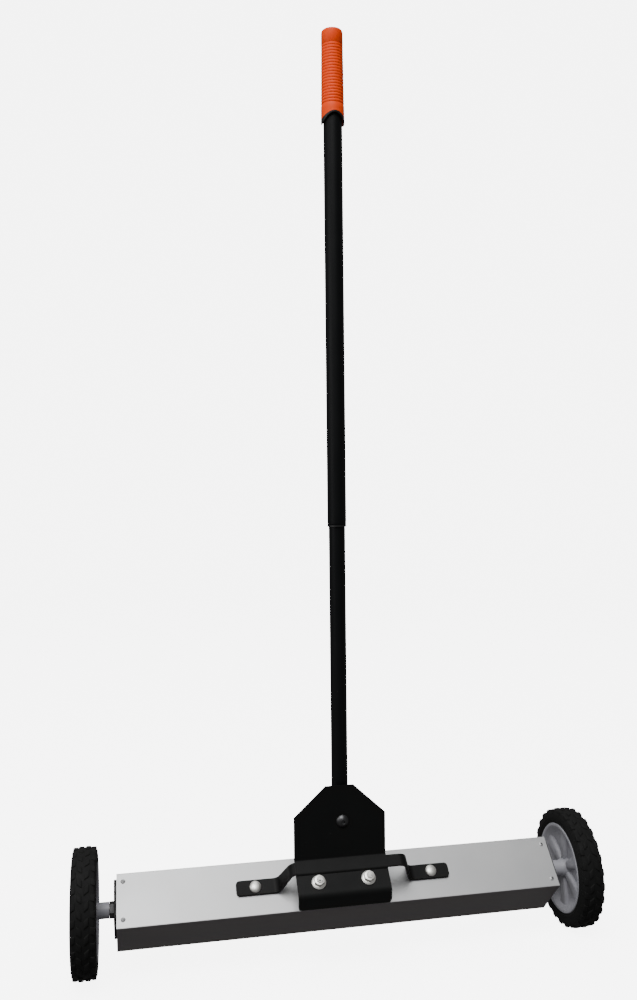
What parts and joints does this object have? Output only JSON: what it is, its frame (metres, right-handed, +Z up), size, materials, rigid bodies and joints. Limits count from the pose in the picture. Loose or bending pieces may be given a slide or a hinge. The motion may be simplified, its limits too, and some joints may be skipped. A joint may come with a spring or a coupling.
{
  "type": "magnetic nail sweeper",
  "caption": "Two-wheeled magnetic floor sweeper: aluminium magnet box, bridge strap, bent handle plate and a telescopic steel handle with a ribbed grip.",
  "frame": {"origin": "on the ground at the middle of the sweeper's footprint, with the handle upright and both tyres touching z = 0", "axes": "+Z up along the handle, +X along the axle, -Y the side that the bracket face and the bends of the handle plate look to"},
  "size_m": [0.7258, 0.173, 1.2603],
  "materials": {
    "satin_aluminium": "satin anodised extrusion",
    "black_powder_coat": "black powder coat on steel",
    "black_tube_coat": "semi-gloss black paint on steel tube",
    "zinc_plate": "bright zinc plate",
    "dark_steel": "dark oiled steel",
    "raw_steel": "mill-finish steel, hidden inside",
    "ferrite": "sintered ferrite",
    "grey_plastic": "moulded grey plastic",
    "black_plastic": "moulded black plastic",
    "tyre_rubber": "black rubber",
    "grip_plastic": "orange moulded vinyl"
  },
  "bodies": {
    "housing": {"axle_bolt_left": "zinc_plate", "axle_bolt_right": "zinc_plate", "axle_plate_left": "black_powder_coat", "axle_plate_right": "black_powder_coat", "axle_washer_left": "zinc_plate", "axle_washer_right": "zinc_plate", "backing_plate": "raw_steel", "base_tray": "raw_steel", "bridge_strap": "black_powder_coat", "cap_rivets": "satin_aluminium", "clamp_bolts": "zinc_plate", "clamp_nuts": "zinc_plate", "clamp_plate": "black_powder_coat", "end_cap_left": "black_powder_coat", "end_cap_right": "black_powder_coat", "foot_bolts": "zinc_plate", "foot_nuts": "zinc_plate", "handle_bolt": "dark_steel", "handle_nut": "zinc_plate", "handle_plate": "black_powder_coat", "handle_saddle": "black_powder_coat", "handle_washer": "zinc_plate", "housing_shell": "satin_aluminium", "jam_nut_left": "dark_steel", "jam_nut_right": "dark_steel", "lock_nut_left": "zinc_plate", "lock_nut_right": "zinc_plate", "lock_spindle": "black_plastic", "lower_tube": "black_tube_coat", "magnet_bars": "ferrite", "pack_screws": "zinc_plate", "pole_bars": "raw_steel", "tube_plug": "black_plastic"},
    "left_wheel": {"rim_left": "grey_plastic", "tyre_left": "tyre_rubber", "hub_bush_left": "raw_steel"},
    "right_wheel": {"rim_right": "grey_plastic", "tyre_right": "tyre_rubber", "hub_bush_right": "raw_steel"},
    "twist_lock": {"lock_ring": "black_plastic"},
    "upper_handle": {"upper_tube": "black_tube_coat", "guide_bush": "black_plastic", "grip": "grip_plastic"}
  },
  "joints": [
    {"name": "left_wheel_spin", "type": "hinge", "parent": "housing", "child": "left_wheel", "pos_m": [-0.346, 0.00354, 0.083], "axis": [1, 0, 0], "continuous": true},
    {"name": "right_wheel_spin", "type": "hinge", "parent": "housing", "child": "right_wheel", "pos_m": [0.346, 0.00354, 0.083], "axis": [1, 0, 0], "continuous": true},
    {"name": "handle_twist", "type": "hinge", "parent": "housing", "child": "twist_lock", "pos_m": [-0.0076, -0.03828, 0.73], "axis": [0, 0, 1], "range_deg": [0, 90]},
    {"name": "handle_slide", "type": "slide", "parent": "twist_lock", "child": "upper_handle", "axis": [0, 0, 1], "range_m": [-0.34, 0]}
  ]
}
